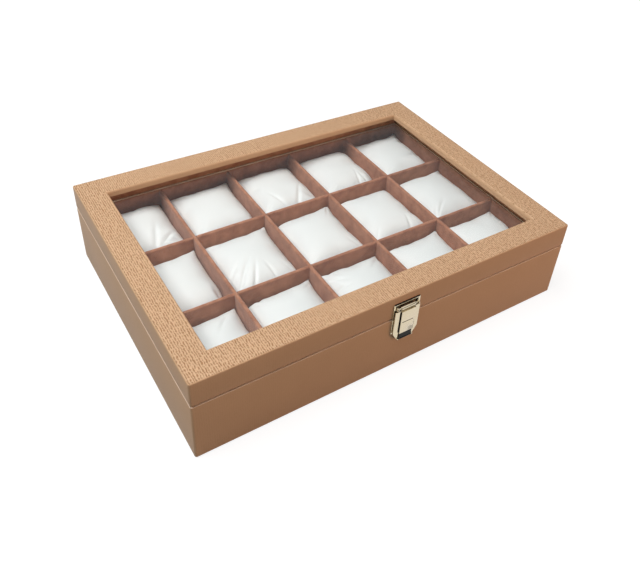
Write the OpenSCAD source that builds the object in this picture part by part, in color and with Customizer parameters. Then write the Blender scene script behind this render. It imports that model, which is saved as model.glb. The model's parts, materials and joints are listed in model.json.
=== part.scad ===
// Glazed display box with fifteen cushioned compartments.
// Fibreboard case in grained leatherette, suede lining, hinged window lid and a flap latch.
// Millimetres, +Z up. The origin is the middle of the underside, and the latch is at the front, -Y.

/* [Case] */
// Width of the closed box, left to right
case_w = 350; // [330:5:380]
// Depth of the closed box, front to back
case_d = 250; // [235:5:280]
// Height of the closed box
case_h = 78; // [76:1:90]
// Height of the seam between the base and the lid
seam_z = 55.5; // [54:0.5:57]
// Gap left between the rims of the base and the lid
seam_gap = 0.6; // [0.5:0.1:0.9]
// Thickness of the fibreboard walls
wall_t = 5.5; // [5:0.5:7]
// Thickness of the bottom board
bottom_t = 3; // [2.5:0.5:4]
// Width of the lid's rails, from the outside to the window
rail_w = 23; // [18:1:28]
// Thickness of the lid's rails
rail_t = 5; // [4:0.5:6]

/* [Covering and lining] */
// Thickness of the leatherette
leather_t = 0.8; // [0.5:0.1:1]
// Radius of the covered upright corners
corner_r = 1.8; // [1:0.1:2]
// How far the leatherette turns over a rim and on along the inside
turn_h = 1.2; // [1:0.1:4]
// Thickness of the suede-covered card round the inside
lining_t = 1.5; // [1.2:0.1:2]
// Thickness of the suede-covered card on the floor
floor_lining_t = 1.2; // [1:0.1:1.6]
// Thickness of the sheet under the bottom
bottom_cover_t = 0.5; // [0.3:0.1:0.8]
// Distance of that sheet's edge from the outside
bottom_cover_inset = 3; // [2:0.5:6]

/* [Compartments] */
// Number of compartments in a row
columns = 5; // [4:1:5]
// Thickness of the dividers
divider_t = 3.2; // [2.6:0.2:4]
// Height of the dividers' rounded tops above the underside
divider_top = 53.9; // [50:0.1:54]
// Clearance on each side of a half lap
lap_play = 0.1; // [0.05:0.05:0.2]

/* [Glass] */
// Thickness of the glass
glass_t = 2; // [1.5:0.1:2.5]
// Clearance around the glass inside the lid's walls
glass_play = 0.3; // [0.2:0.1:0.6]

/* [Pillows] */
// Clearance between a pillow and the dividers around it
pillow_play = 0.5; // [0.4:0.1:1.5]
// Clearance under a pillow
pillow_foot = 0.3; // [0.3:0.1:1]
// Height of a pillow's widest line, where its two panels are sewn together
pillow_seam_h = 26; // [22:1:30]
// Rise of the crown above that line
pillow_crown_h = 20; // [16:0.5:21]
// How far the sides pull in between the corners, as a share of the half width
pillow_draw = 0.045; // [0:0.005:0.08]
// How far the sewn corners stand up
pillow_ear_h = 9; // [0:1:12]
// How much one pillow's fill differs from the next
pillow_spread = 1.2; // [0:0.1:1.5]

/* [Hinges] */
// Distance of each hinge from the middle
hinge_x = 105; // [80:5:130]
// Width of a hinge
hinge_w = 26; // [24:1:34]
// Height of a leaf, from the axis to its free edge
leaf_h = 12; // [11:0.5:14]
// Thickness of a leaf
leaf_t = 0.9; // [0.8:0.1:1]
// Radius of the rolled knuckles
knuckle_r = 1.9; // [1.8:0.1:2.2]
// Radius of the hinge pin
hinge_pin_r = 1; // [0.9:0.05:1.1]
// Radial clearance of the pin in the leaf that turns
running_play = 0.06; // [0.03:0.01:0.1]

/* [Latch] */
// Width of the latch's two plates
latch_w = 24.8; // [24:0.1:28]
// Top of the plate on the lid
latch_top = 70.8; // [70:0.1:72]
// Bottom of the plate on the base
latch_bottom = 40.2; // [39:0.1:42]
// Thickness of the plates
latch_plate_t = 0.8; // [0.6:0.1:0.9]
// Height of the flap's pivot
pivot_z = 66.4; // [66:0.1:67]
// Distance of the pivot from the front face
pivot_out = 2; // [1.9:0.1:2.2]
// Width of the flap across its wings
flap_w = 23.2; // [22:0.1:24]
// Width of the flap's raised middle
raised_w = 13.2; // [12:0.1:14]
// Distance of the raised middle's face from the front face
raised_out = 4.1; // [3.8:0.1:4.6]
// Lowest edge of the flap
flap_bottom = 33.8; // [32:0.1:36]

/* [Hidden] */
row_names = ["front", "middle", "back"];
rows = len(row_names);

$fn = 48;

// A box's walls inside the leatherette
board_w = case_w - 2 * leather_t;
board_d = case_d - 2 * leather_t;
inner_w = board_w - 2 * wall_t;
inner_d = board_d - 2 * wall_t;
lined_w = inner_w - 2 * lining_t;
lined_d = inner_d - 2 * lining_t;

// Heights, from the floor up
hem_z = bottom_cover_t;
base_rim = seam_z - seam_gap / 2;
lid_rim = seam_z + seam_gap / 2;
bottom_top = hem_z + bottom_t;
floor_z = bottom_top + floor_lining_t;
rail_top = case_h - leather_t;
rail_z = rail_top - rail_t;
glass_z = rail_z - glass_t;

// Window
window_w = case_w - 2 * rail_w;
window_d = case_d - 2 * rail_w;

// Compartments
cell_w = (lined_w - (columns - 1) * divider_t) / columns;
cell_d = (lined_d - (rows - 1) * divider_t) / rows;
pitch_x = cell_w + divider_t;
pitch_y = cell_d + divider_t;
lap_z = (floor_z + divider_top) / 2;

// Pillows
pillow_steps = 12;
pillow_hx = cell_w / 2 - pillow_play;
pillow_hy = cell_d / 2 - pillow_play;
pillow_z = floor_z + pillow_foot;
pillow_edge = 2.6;
pillow_flat = 1.25;

// Hinges
hinge_axis_y = case_d / 2 + knuckle_r + 0.15;
hinge_wall_y = case_d / 2 - hinge_axis_y;
knuckle_half = hinge_w / 2 * 0.3;
knuckle_gap = 0.2;
leaf_notch = knuckle_r + 0.4;
fixed_play = 0.02;
hinge_screw_x = 8;
hinge_screw_z = 8;
screw_r = 0.7;
screw_head_r = 1.7;
screw_head_h = 0.8;
screw_depth = 5;
screw_play = 0.05;

// Latch
latch_pin_r = 0.75;
barrel_r = 1.5;
barrel_half = 6.6;
slot_half = 9.2;
ear_t = 1;
flap_back = 1.6;
flap_t = 1;
flap_side_t = 0.8;
ledge_z = pivot_z - 2.5;
wing_low_z = 41;
mouth_z = 40.8;
rim_h = 1;
chamfer_half = 7.4;
engraving_half = 5.2;
engraving_z = 52.4;
catch_half = 4;
catch_z = 46;
catch_r = 1.4;
nail_x = 9.4;
base_nail_z = catch_z - 1;
lid_nail_z = lid_rim + 4;
nail_head_r = 1.5;
nail_head_h = 0.5;

// Names and places of the compartments, counted from the front left
function pillow_name(r, c) = str("pillow_", row_names[r - 1], "_", c);
function cell_x(c) = (c - (columns + 1) / 2) * pitch_x;
function cell_y(r) = (r - (rows + 1) / 2) * pitch_y;

// Colours
leather_colour = "#C8A078";
suede_colour = "#A9705C";
board_colour = "#B89468";
satin_colour = "#F2F3F0";
latch_colour = "#D6CBAE";
hinge_colour = "#C9B68A";
glass_colour = "#BFD0D2";
sheet_colour = "#3A322E";

// Basic shapes

// A rectangle about the middle with true round corners
module rounded_rect(w, d, r) {
    square([w - 2 * r, d], center = true);
    square([w, d - 2 * r], center = true);
    for (x = [-1, 1])
        for (y = [-1, 1])
            translate([x * (w / 2 - r), y * (d / 2 - r)]) circle(r = r);
}

// A rectangular ring between two heights
module ring(outer_w, outer_d, inner_w, inner_d, z0, z1) {
    translate([0, 0, z0])
        linear_extrude(height = z1 - z0)
            difference() {
                square([outer_w, outer_d], center = true);
                square([inner_w, inner_d], center = true);
            }
}

// The outside skin of the case between two heights, with its rounded corners
module skin(z0, z1) {
    translate([0, 0, z0])
        linear_extrude(height = z1 - z0)
            difference() {
                rounded_rect(case_w, case_d, corner_r);
                square([board_w, board_d], center = true);
            }
}

// A sheet as wide as the case, with an opening
module sheet(opening_w, opening_d, z0, z1) {
    translate([0, 0, z0])
        linear_extrude(height = z1 - z0)
            difference() {
                rounded_rect(case_w, case_d, corner_r);
                square([opening_w, opening_d], center = true);
            }
}

// A solid block about the middle of the case between two heights
module slab(w, d, z0, z1) {
    translate([-w / 2, -d / 2, z0]) cube([w, d, z1 - z0]);
}

// A rod along X about the middle
module rod_x(r, length) {
    rotate([0, 90, 0]) cylinder(r = r, h = length, center = true);
}

// Fasteners

// Places of the two screws of one leaf, on both hinges
module at_hinge_screws(z) {
    for (side = [-1, 1])
        for (x = [-1, 1])
            translate([side * hinge_x + x * hinge_screw_x, case_d / 2, seam_z + z])
                rotate([-90, 0, 0]) children();
}

// Places of the two nails of one latch plate
module at_latch_nails(z) {
    for (x = [-1, 1])
        translate([x * nail_x, -case_d / 2, z]) rotate([90, 0, 0]) children();
}

// A round-headed fastener that stands on a surface at the height given
module round_fastener(seat, head_r, head_h) {
    ball_r = (head_r * head_r + head_h * head_h) / (2 * head_h);
    translate([0, 0, -screw_depth]) cylinder(r = screw_r, h = screw_depth + seat);
    translate([0, 0, seat])
        intersection() {
            cylinder(r = head_r, h = head_h);
            translate([0, 0, head_h - ball_r]) sphere(r = ball_r);
        }
}

// The pilot hole of a fastener
module pilot() {
    translate([0, 0, -screw_depth - 0.2])
        cylinder(r = screw_r + screw_play, h = screw_depth + 3);
}

// Fibreboard

// A front or back wall, side -1 or 1, with the pilot holes of what is fastened to it
module long_wall(side, z0, z1) {
    translate([-board_w / 2, side > 0 ? inner_d / 2 : -board_d / 2, z0])
        cube([board_w, wall_t, z1 - z0]);
}

// A left or right wall, side -1 or 1, between the front and back walls
module short_wall(side, z0, z1) {
    translate([side > 0 ? inner_w / 2 : -board_w / 2, -inner_d / 2, z0])
        cube([wall_t, inner_d, z1 - z0]);
}

// A mitred rail along X, side -1 or 1
module long_rail(side) {
    translate([0, 0, rail_z])
        linear_extrude(height = rail_t)
            polygon([
                [-board_w / 2, side * board_d / 2],
                [board_w / 2, side * board_d / 2],
                [window_w / 2 + leather_t, side * (window_d / 2 + leather_t)],
                [-window_w / 2 - leather_t, side * (window_d / 2 + leather_t)]
            ]);
}

// A mitred rail along Y, side -1 or 1
module short_rail(side) {
    translate([0, 0, rail_z])
        linear_extrude(height = rail_t)
            polygon([
                [side * board_w / 2, -board_d / 2],
                [side * board_w / 2, board_d / 2],
                [side * (window_w / 2 + leather_t), window_d / 2 + leather_t],
                [side * (window_w / 2 + leather_t), -window_d / 2 - leather_t]
            ]);
}

module base_front_wall() {
    color(board_colour)
        difference() {
            long_wall(-1, hem_z + leather_t, base_rim - leather_t);
            at_latch_nails(base_nail_z) pilot();
        }
}

module base_back_wall() {
    color(board_colour)
        difference() {
            long_wall(1, hem_z + leather_t, base_rim - leather_t);
            at_hinge_screws(-hinge_screw_z) pilot();
        }
}

module base_left_wall() {
    color(board_colour) short_wall(-1, hem_z + leather_t, base_rim - leather_t);
}

module base_right_wall() {
    color(board_colour) short_wall(1, hem_z + leather_t, base_rim - leather_t);
}

module bottom_board() {
    color(board_colour) slab(inner_w, inner_d, hem_z, bottom_top);
}

module lid_front_wall() {
    color(board_colour)
        difference() {
            long_wall(-1, lid_rim + leather_t, rail_z);
            at_latch_nails(lid_nail_z) pilot();
        }
}

module lid_back_wall() {
    color(board_colour)
        difference() {
            long_wall(1, lid_rim + leather_t, rail_z);
            at_hinge_screws(hinge_screw_z) pilot();
        }
}

module lid_left_wall() {
    color(board_colour) short_wall(-1, lid_rim + leather_t, rail_z);
}

module lid_right_wall() {
    color(board_colour) short_wall(1, lid_rim + leather_t, rail_z);
}

module lid_front_rail() {
    color(board_colour) long_rail(-1);
}

module lid_back_rail() {
    color(board_colour) long_rail(1);
}

module lid_left_rail() {
    color(board_colour) short_rail(-1);
}

module lid_right_rail() {
    color(board_colour) short_rail(1);
}

// Leatherette, card and sheet

// Skin of the base: the sides, the hem under the walls, the rim and its turn inside
module base_leatherette() {
    color(leather_colour)
        difference() {
            union() {
                skin(hem_z, base_rim);
                sheet(inner_w, inner_d, hem_z, hem_z + leather_t);
                sheet(inner_w, inner_d, base_rim - leather_t, base_rim);
                ring(inner_w, inner_d, inner_w - 2 * leather_t, inner_d - 2 * leather_t,
                    base_rim - turn_h, base_rim);
            }
            at_hinge_screws(-hinge_screw_z) pilot();
            at_latch_nails(base_nail_z) pilot();
        }
}

// Skin of the lid: the sides, the top, the turn round the window and the turn inside the rim
module lid_leatherette() {
    color(leather_colour)
        difference() {
            union() {
                skin(lid_rim, case_h);
                sheet(window_w, window_d, rail_top, case_h);
                ring(window_w + 2 * leather_t, window_d + 2 * leather_t, window_w, window_d,
                    rail_z, case_h);
                sheet(inner_w, inner_d, lid_rim, lid_rim + leather_t);
                ring(inner_w, inner_d, inner_w - 2 * leather_t, inner_d - 2 * leather_t,
                    lid_rim, lid_rim + turn_h);
            }
            at_hinge_screws(hinge_screw_z) pilot();
            at_latch_nails(lid_nail_z) pilot();
        }
}

module bottom_cover() {
    color(sheet_colour)
        slab(case_w - 2 * bottom_cover_inset, case_d - 2 * bottom_cover_inset, 0, hem_z);
}

module floor_lining() {
    color(suede_colour) slab(inner_w, inner_d, bottom_top, floor_z);
}

module base_side_lining() {
    color(suede_colour)
        ring(inner_w, inner_d, lined_w, lined_d, floor_z, base_rim - turn_h);
}

module lid_side_lining() {
    color(suede_colour)
        ring(inner_w, inner_d, lined_w, lined_d, lid_rim + turn_h, glass_z);
}

module glass_pane() {
    color(glass_colour, 0.35)
        slab(inner_w - 2 * glass_play, inner_d - 2 * glass_play, glass_z, rail_z);
}

// Dividers

// A suede-covered board along X about the middle, with a rounded top
module divider_board(length) {
    rotate([90, 0, 90])
        linear_extrude(height = length, center = true)
            union() {
                translate([-divider_t / 2, floor_z])
                    square([divider_t, divider_top - divider_t / 2 - floor_z]);
                translate([0, divider_top - divider_t / 2]) circle(d = divider_t);
            }
}

// A divider from left to right, slotted from above
module long_divider(i) {
    slot_w = divider_t + 2 * lap_play;
    color(suede_colour)
        translate([0, (i - rows / 2) * pitch_y, 0])
            difference() {
                divider_board(lined_w);
                for (k = [1:columns - 1])
                    translate([(k - columns / 2) * pitch_x - slot_w / 2, -divider_t, lap_z])
                        cube([slot_w, 2 * divider_t, divider_top]);
            }
}

// A divider from front to back, slotted from below
module short_divider(i) {
    slot_w = divider_t + 2 * lap_play;
    color(suede_colour)
        translate([(i - columns / 2) * pitch_x, 0, 0])
            difference() {
                rotate([0, 0, 90]) divider_board(lined_d);
                for (k = [1:rows - 1])
                    translate([-divider_t, (k - rows / 2) * pitch_y - slot_w / 2, floor_z - 1])
                        cube([2 * divider_t, slot_w, lap_z - floor_z + 1]);
            }
}

// Pillows

// Grid line i of the pillow, closer together towards the edges
function grid_at(i) = sin(180 * i / pillow_steps - 90);

// Height of the sewn line, which stands up at the corners by the ear given
function seam_at(u, v, ear) = pillow_seam_h + ear * pow(u * v, 4);

// How full the pillow is above or below a point, from 0 at the sewn line to 1
function fullness(u, v) =
    sqrt(max(0, 1 - pow(abs(u), pillow_edge)) * max(0, 1 - pow(abs(v), pillow_edge)));

// Fill of one pillow over the usual fill
function extra_fill(r, c) = pillow_spread * sin(137 * r + 71 * c);

// Plan place of a point, with the sides drawn in between the corners
function plan_at(u, v) = [
    pillow_hx * u * (1 - pillow_draw * (1 - v * v)),
    pillow_hy * v * (1 - pillow_draw * (1 - u * u))
];

function crown_point(u, v, ear, fill) =
    let (p = plan_at(u, v))
    [p[0], p[1], seam_at(u, v, ear) + (pillow_crown_h + fill) * fullness(u, v)];

function foot_point(u, v, ear) =
    let (p = plan_at(u, v), s = seam_at(u, v, ear))
    [p[0], p[1], s - s * min(1, pillow_flat * fullness(u, v))];

// The two triangles of a grid cell, split along the line that runs to the pillow's nearest corner
function cell_faces(i, j, a, b, c, d) =
    (i < pillow_steps / 2) == (j < pillow_steps / 2)
        ? [[a, b, c], [a, c, d]]
        : [[a, b, d], [b, c, d]];

// A stuffed satin pillow: a crowned panel and a flattened one, joined at the sewn line
module pillow(r, c) {
    n = pillow_steps;
    ear = pillow_ear_h + 2 * extra_fill(c, r);
    fill = extra_fill(r, c);
    crown = [for (i = [0:n]) for (j = [0:n]) crown_point(grid_at(i), grid_at(j), ear, fill)];
    foot = [for (i = [1:n - 1]) for (j = [1:n - 1]) foot_point(grid_at(i), grid_at(j), ear)];
    function top_i(i, j) = i * (n + 1) + j;
    function low_i(i, j) = i == 0 || j == 0 || i == n || j == n
        ? top_i(i, j)
        : (n + 1) * (n + 1) + (i - 1) * (n - 1) + j - 1;
    top_faces = [
        for (i = [0:n - 1]) for (j = [0:n - 1])
            for (f = cell_faces(i, j, top_i(i, j), top_i(i, j + 1), top_i(i + 1, j + 1), top_i(i + 1, j))) f
    ];
    low_faces = [
        for (i = [0:n - 1]) for (j = [0:n - 1])
            for (f = cell_faces(i, j, low_i(i, j), low_i(i + 1, j), low_i(i + 1, j + 1), low_i(i, j + 1))) f
    ];
    color(satin_colour)
        translate([cell_x(c), cell_y(r), pillow_z])
            polyhedron(points = concat(crown, foot), faces = concat(top_faces, low_faces));
}

// Hinges

// One leaf about its axis: side -1 hangs down and 1 stands up, with knuckles at the spans given
module hinge_leaf(side, own_spans, bore_r) {
    difference() {
        union() {
            translate([-hinge_w / 2, hinge_wall_y, side > 0 ? leaf_notch : -leaf_h])
                cube([hinge_w, leaf_t, leaf_h - leaf_notch]);
            for (s = own_spans) {
                translate([s[0], hinge_wall_y, side > 0 ? 0 : -leaf_notch - 0.5])
                    cube([s[1] - s[0], leaf_t, leaf_notch + 0.5]);
                translate([s[0], 0, 0])
                    rotate([0, 90, 0]) cylinder(r = knuckle_r, h = s[1] - s[0]);
            }
        }
        rod_x(bore_r, hinge_w + 2);
        for (x = [-1, 1])
            translate([x * hinge_screw_x, hinge_wall_y - 1, side * hinge_screw_z])
                rotate([-90, 0, 0]) cylinder(r = screw_r + screw_play, h = leaf_t + 2);
    }
}

module base_leaf(side) {
    color(hinge_colour)
        translate([side * hinge_x, hinge_axis_y, seam_z])
            hinge_leaf(-1, [
                [-hinge_w / 2, -knuckle_half - knuckle_gap],
                [knuckle_half + knuckle_gap, hinge_w / 2]
            ], hinge_pin_r + fixed_play);
}

module lid_leaf(side) {
    color(hinge_colour)
        translate([side * hinge_x, hinge_axis_y, seam_z])
            hinge_leaf(1, [[-knuckle_half, knuckle_half]], hinge_pin_r + running_play);
}

module hinge_pin(side) {
    color(hinge_colour)
        translate([side * hinge_x, hinge_axis_y, seam_z]) rod_x(hinge_pin_r, hinge_w + 0.6);
}

module left_hinge_base_leaf() {
    base_leaf(-1);
}

module right_hinge_base_leaf() {
    base_leaf(1);
}

module left_hinge_lid_leaf() {
    lid_leaf(-1);
}

module right_hinge_lid_leaf() {
    lid_leaf(1);
}

module left_hinge_pin() {
    hinge_pin(-1);
}

module right_hinge_pin() {
    hinge_pin(1);
}

module base_hinge_screws() {
    color(hinge_colour)
        at_hinge_screws(-hinge_screw_z) round_fastener(leaf_t, screw_head_r, screw_head_h);
}

module lid_hinge_screws() {
    color(hinge_colour)
        at_hinge_screws(hinge_screw_z) round_fastener(leaf_t, screw_head_r, screw_head_h);
}

// Latch, at the middle of the front, with -Y away from the case

// A block by how far it stands from the front face, its half width and its heights
module latch_block(half, out0, out1, z0, z1) {
    translate([-half, -case_d / 2 - out1, z0]) cube([2 * half, out1 - out0, z1 - z0]);
}

module latch_base_plate() {
    color(latch_colour)
        difference() {
            union() {
                latch_block(latch_w / 2, 0, latch_plate_t, latch_bottom, base_rim);
                intersection() {
                    translate([0, -case_d / 2 - latch_plate_t, catch_z])
                        rod_x(catch_r, 2 * catch_half);
                    latch_block(catch_half + 1, latch_plate_t / 2, 3, catch_z - 3, catch_z + 3);
                }
            }
            at_latch_nails(base_nail_z) pilot();
        }
}

// Plate on the lid, with a slot behind the flap's barrel and an ear at each end of the slot
module latch_lid_plate() {
    color(latch_colour)
        difference() {
            union() {
                difference() {
                    latch_block(latch_w / 2, 0, latch_plate_t, lid_rim, latch_top);
                    latch_block(slot_half, -1, 2, pivot_z - 1.8, pivot_z + 1.8);
                }
                for (x = [-1, 1])
                    translate([x * (slot_half + ear_t / 2), 0, 0]) {
                        latch_block(ear_t / 2, 0, pivot_out, pivot_z - barrel_r, pivot_z + barrel_r);
                        translate([0, -case_d / 2 - pivot_out, pivot_z]) rod_x(barrel_r, ear_t);
                    }
            }
            translate([0, -case_d / 2 - pivot_out, pivot_z])
                rod_x(latch_pin_r + fixed_play, latch_w);
            at_latch_nails(lid_nail_z) pilot();
        }
}

module latch_pin() {
    color(latch_colour)
        translate([0, -case_d / 2 - pivot_out, pivot_z])
            rod_x(latch_pin_r, 2 * (slot_half + ear_t) + 0.4);
}

// Outline of one wing of the flap, in X and Z
module wing_outline() {
    polygon([
        [raised_w / 2 - flap_side_t, ledge_z],
        [flap_w / 2, ledge_z],
        [flap_w / 2, wing_low_z],
        [chamfer_half, flap_bottom],
        [raised_w / 2 - flap_side_t, flap_bottom]
    ]);
}

// Pressed flap: a rolled barrel, a raised middle with a ledge above, two wings and a finger rim
module latch_flap() {
    color(latch_colour)
        difference() {
            union() {
                translate([0, -case_d / 2 - pivot_out, pivot_z]) rod_x(barrel_r, 2 * barrel_half);
                latch_block(barrel_half, flap_back, flap_back + flap_t, ledge_z - 0.8, pivot_z);
                latch_block(raised_w / 2, flap_back, raised_out, ledge_z - flap_side_t, ledge_z);
                latch_block(raised_w / 2, raised_out - flap_side_t, raised_out, mouth_z, ledge_z);
                for (x = [-1, 1]) {
                    translate([x * (raised_w / 2 - flap_side_t / 2), 0, 0])
                        latch_block(flap_side_t / 2, flap_back, raised_out, mouth_z, ledge_z);
                    mirror([x > 0 ? 0 : 1, 0, 0])
                        translate([0, -case_d / 2 - flap_back, 0])
                            rotate([90, 0, 0]) linear_extrude(height = flap_t) wing_outline();
                }
                latch_block(chamfer_half, flap_back + flap_t - 0.2, flap_back + flap_t + rim_h,
                    flap_bottom, flap_bottom + rim_h);
            }
            translate([0, -case_d / 2 - pivot_out, pivot_z])
                rod_x(latch_pin_r + running_play, latch_w);
            latch_block(engraving_half, raised_out - 0.3, raised_out + 1,
                engraving_z - 0.3, engraving_z + 0.3);
        }
}

module base_latch_nails() {
    color(latch_colour)
        at_latch_nails(base_nail_z) round_fastener(latch_plate_t, nail_head_r, nail_head_h);
}

module lid_latch_nails() {
    color(latch_colour)
        at_latch_nails(lid_nail_z) round_fastener(latch_plate_t, nail_head_r, nail_head_h);
}

// The assembly

base_front_wall();
base_back_wall();
base_left_wall();
base_right_wall();
bottom_board();
base_leatherette();
bottom_cover();
floor_lining();
base_side_lining();
for (i = [1:rows - 1])
    long_divider(i);
for (i = [1:columns - 1])
    short_divider(i);
left_hinge_base_leaf();
right_hinge_base_leaf();
left_hinge_pin();
right_hinge_pin();
base_hinge_screws();
latch_base_plate();
base_latch_nails();
lid_front_wall();
lid_back_wall();
lid_left_wall();
lid_right_wall();
lid_front_rail();
lid_back_rail();
lid_left_rail();
lid_right_rail();
lid_leatherette();
glass_pane();
lid_side_lining();
left_hinge_lid_leaf();
right_hinge_lid_leaf();
lid_hinge_screws();
latch_lid_plate();
latch_pin();
lid_latch_nails();
latch_flap();
for (r = [1:rows])
    for (c = [1:columns])
        pillow(r, c);
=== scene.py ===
"""Looks of a glazed display box with fifteen cushioned compartments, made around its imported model.

Metres, +Z up. The front, with the latch, is -Y, and the underside rests on Z = 0.
"""

import json
import math
import random

import bmesh
import bpy
from bpy.props import FloatProperty, FloatVectorProperty, IntProperty, PointerProperty
from bpy.types import Operator, Panel, PropertyGroup
from mathutils import Matrix, Vector, noise


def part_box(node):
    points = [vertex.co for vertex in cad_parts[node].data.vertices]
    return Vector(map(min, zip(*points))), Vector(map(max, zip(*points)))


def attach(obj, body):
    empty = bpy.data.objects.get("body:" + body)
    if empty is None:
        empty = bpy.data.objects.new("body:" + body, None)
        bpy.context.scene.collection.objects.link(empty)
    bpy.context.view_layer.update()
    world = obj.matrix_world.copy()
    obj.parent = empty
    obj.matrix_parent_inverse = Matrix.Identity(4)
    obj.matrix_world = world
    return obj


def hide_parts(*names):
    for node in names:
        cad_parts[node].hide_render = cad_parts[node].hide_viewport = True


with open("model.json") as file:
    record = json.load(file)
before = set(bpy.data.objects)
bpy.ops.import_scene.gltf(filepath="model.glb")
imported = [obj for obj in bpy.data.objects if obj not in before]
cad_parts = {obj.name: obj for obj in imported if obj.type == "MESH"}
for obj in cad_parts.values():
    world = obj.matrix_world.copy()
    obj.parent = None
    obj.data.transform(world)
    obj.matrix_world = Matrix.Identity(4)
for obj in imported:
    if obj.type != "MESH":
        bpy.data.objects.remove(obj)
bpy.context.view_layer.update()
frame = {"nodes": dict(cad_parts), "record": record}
NODES = frame["nodes"]
BODY_OF = {
    node: body
    for body, members in frame["record"]["behaviour"]["bodies"].items()
    for node in members
}

bl_info = {
    "name": "Glazed display box",
    "version": (1, 0, 0),
    "blender": (4, 5, 0),
    "location": "3D View > Sidebar > Display box",
    "description": "Covers, lines and fits out a hinged display box around its packed model",
    "category": "Object",
}

MM = 0.001
TINY = 0.002 * MM
WAVE_PERIOD = 0.314  # distance between the bands of a Wave texture at scale 1


def linear(hex_colour):
    """Linear red, green and blue of an sRGB hex colour."""
    values = [int(hex_colour[i:i + 2], 16) / 255 for i in (1, 3, 5)]
    return [v / 12.92 if v <= 0.04045 else ((v + 0.055) / 1.055) ** 2.4 for v in values]


def colour_property(name, description, hex_colour):
    """A colour that a user can change, given as sRGB hex."""
    return FloatVectorProperty(
        name=name, description=description, default=linear(hex_colour),
        subtype="COLOR", size=3, min=0, max=1,
    )


def length_property(name, description, default_mm, low_mm, high_mm):
    """A length that a user can change, in metres, given here in millimetres."""
    return FloatProperty(
        name=name, description=description, default=default_mm * MM,
        min=low_mm * MM, max=high_mm * MM, precision=4, subtype="DISTANCE", unit="LENGTH",
    )


# Settings

class CoveringSettings(PropertyGroup):
    """Leatherette round the base and the lid."""

    crown: colour_property("Grain", "Colour of the raised grain", "#D6B391")
    crevice: colour_property("Creases", "Colour in the creases of the grain", "#A37B58")
    # Walls is painted shade: a darker crown colour on the upright faces, which get less light than the
    # top
    drawn: colour_property("Walls", "Colour where the sheet is drawn over the walls", "#C29D7A")
    # Base fold and Lid fold are painted light: a highlight along the base's rim and a shadow along the
    # lid's lower edge
    rim_highlight: colour_property("Base fold", "Colour of the stretched fold on the base", "#EBD0B6")
    seam_shadow: colour_property("Lid fold", "Colour of the worn fold on the lid", "#4A3326")
    grain: length_property("Grain size", "Distance between two ripples of the grain", 1.7, 1, 4)
    upright_radius: length_property("Corner radius", "Radius of the upright corners", 1.8, 0.8, 3)
    edge_radius: length_property("Edge radius", "Radius of the outer edges", 1.2, 0.5, 2)
    window_radius: length_property("Window radius", "Radius of the window's edge", 2.3, 0.8, 2.4)
    rim_radius: length_property("Rim radius", "Radius of the rims' inner edges", 0.7, 0.3, 0.8)


class LiningSettings(PropertyGroup):
    """Suede-covered card and dividers."""

    light: colour_property("Raised nap", "Colour where the nap stands up", "#BA8265")
    dark: colour_property("Laid nap", "Colour where the nap lies down", "#A0694F")
    patch: length_property("Nap patches", "Size of the patches in the nap", 9, 3, 30)


class PillowSettings(PropertyGroup):
    """Satin pillows."""

    satin: colour_property("Satin", "Colour of the satin", "#F1F2F0")
    slack: FloatProperty(
        name="Slack", description="Share by which the cloth is longer than its filling at the seams",
        default=0.18, min=0.05, max=0.3, subtype="FACTOR",
    )
    pressure: FloatProperty(
        name="Pressure", description="Pressure of the filling in the cloth solver",
        default=14, min=1, max=40,
    )
    weight: FloatProperty(
        name="Weight", description="Share of gravity that acts while the cloth settles",
        default=0.15, min=0, max=1, subtype="FACTOR",
    )
    steps: IntProperty(
        name="Steps", description="Frames for which the cloth settles", default=24, min=8, max=40,
    )
    play: length_property("Play", "Gap kept between a pillow and its compartment", 0.35, 0.3, 1)


class MetalSettings(PropertyGroup):
    """Latch and hinges."""

    latch: colour_property("Latch plating", "Colour of the latch's pale gold plating", "#D2C5AA")
    # Painted shade: the latch's recesses are coloured near black to stand for their shade and dark
    # reflections
    black: colour_property("Recess_shade", "Colour of the black shading in the latch's recesses", "#12100E")
    hinge: colour_property("Hinge plating", "Colour of the hinges' brass plating", "#CDB47C")
    edge: length_property("Edge radius", "Radius of the pressed metal's edges", 0.22, 0.1, 0.4)


class StudioSettings(PropertyGroup):
    """Camera and light."""

    lens: FloatProperty(
        name="Lens", description="Focal length on a 36 mm sensor, in millimetres",
        default=39.82, min=20, max=120,
    )
    azimuth: FloatProperty(
        name="Azimuth", description="Turn of the camera from straight in front",
        default=math.radians(-36.41), subtype="ANGLE", unit="ROTATION",
    )
    elevation: FloatProperty(
        name="Elevation", description="Angle at which the camera looks down",
        default=math.radians(36.65), subtype="ANGLE", unit="ROTATION",
    )
    roll: FloatProperty(
        name="Roll", description="Turn of the picture about the line of sight",
        default=math.radians(5.04), subtype="ANGLE", unit="ROTATION",
    )
    ambient: FloatProperty(
        name="Ambient", description="Strength of the light from all round", default=0.08, min=0, max=1,
    )


class DisplayBoxSettings(PropertyGroup):
    """All settings of the display box."""

    covering: PointerProperty(type=CoveringSettings)
    lining: PointerProperty(type=LiningSettings)
    pillows: PointerProperty(type=PillowSettings)
    metal: PointerProperty(type=MetalSettings)
    studio: PointerProperty(type=StudioSettings)


# Modelling by hand

def deselect_all():
    """Leaves no object selected."""
    bpy.ops.object.select_all(action="DESELECT")


def select_only(piece):
    """Makes one object the selected and active one."""
    deselect_all()
    piece.select_set(True)
    bpy.context.view_layer.objects.active = piece


def add_block(name, low, high):
    """A block between two corners, with its place in its mesh, as the start of a piece."""
    low, high = Vector(low), Vector(high)
    deselect_all()
    bpy.ops.mesh.primitive_cube_add(size=1, location=(low + high) / 2)
    block = bpy.context.object
    block.name = block.data.name = name
    block.scale = high - low
    bpy.ops.object.transform_apply(location=True, rotation=True, scale=True)
    return block


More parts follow.
